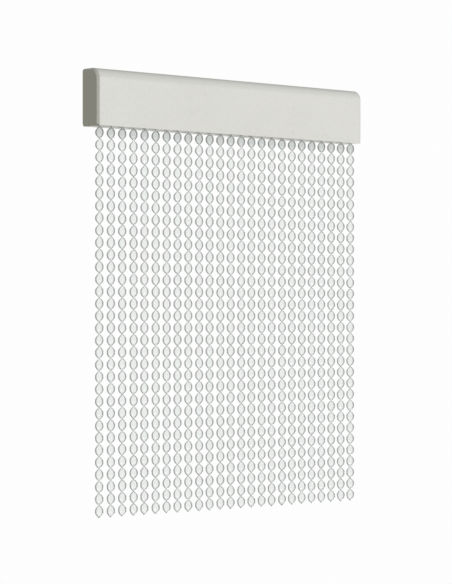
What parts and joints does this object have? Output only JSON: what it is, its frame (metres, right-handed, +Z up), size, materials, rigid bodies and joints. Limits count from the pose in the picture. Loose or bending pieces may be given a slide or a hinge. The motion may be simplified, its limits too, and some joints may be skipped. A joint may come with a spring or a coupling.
{
  "type": "spiral strand door curtain with header rail",
  "caption": "Door curtain of twisted clear plastic bands that hang side by side from a hollow wall-mounted header rail with a rounded top edge and end caps.",
  "frame": {"origin": "middle of the header's flat back face, which lies on the wall", "axes": "+X to the right of someone who faces the curtain, +Y into the wall, +Z up; the strands hang towards -Z"},
  "size_m": [0.9, 0.064, 1.0872],
  "materials": {
    "header": "satin-gloss light warm grey on an extruded hollow profile",
    "end_cap": "satin-gloss light warm grey on a moulded plate",
    "strand": "clear soft plastic with a faint grey-green cast, greyer in its thick rims"
  },
  "bodies": {
    "root": {"header_profile": "header", "end_cap_left": "end_cap", "end_cap_right": "end_cap", "strand_set_1": "strand", "strand_set_2": "strand", "strand_set_3": "strand", "strand_set_4": "strand", "strand_set_5": "strand"}
  },
  "joints": []
}
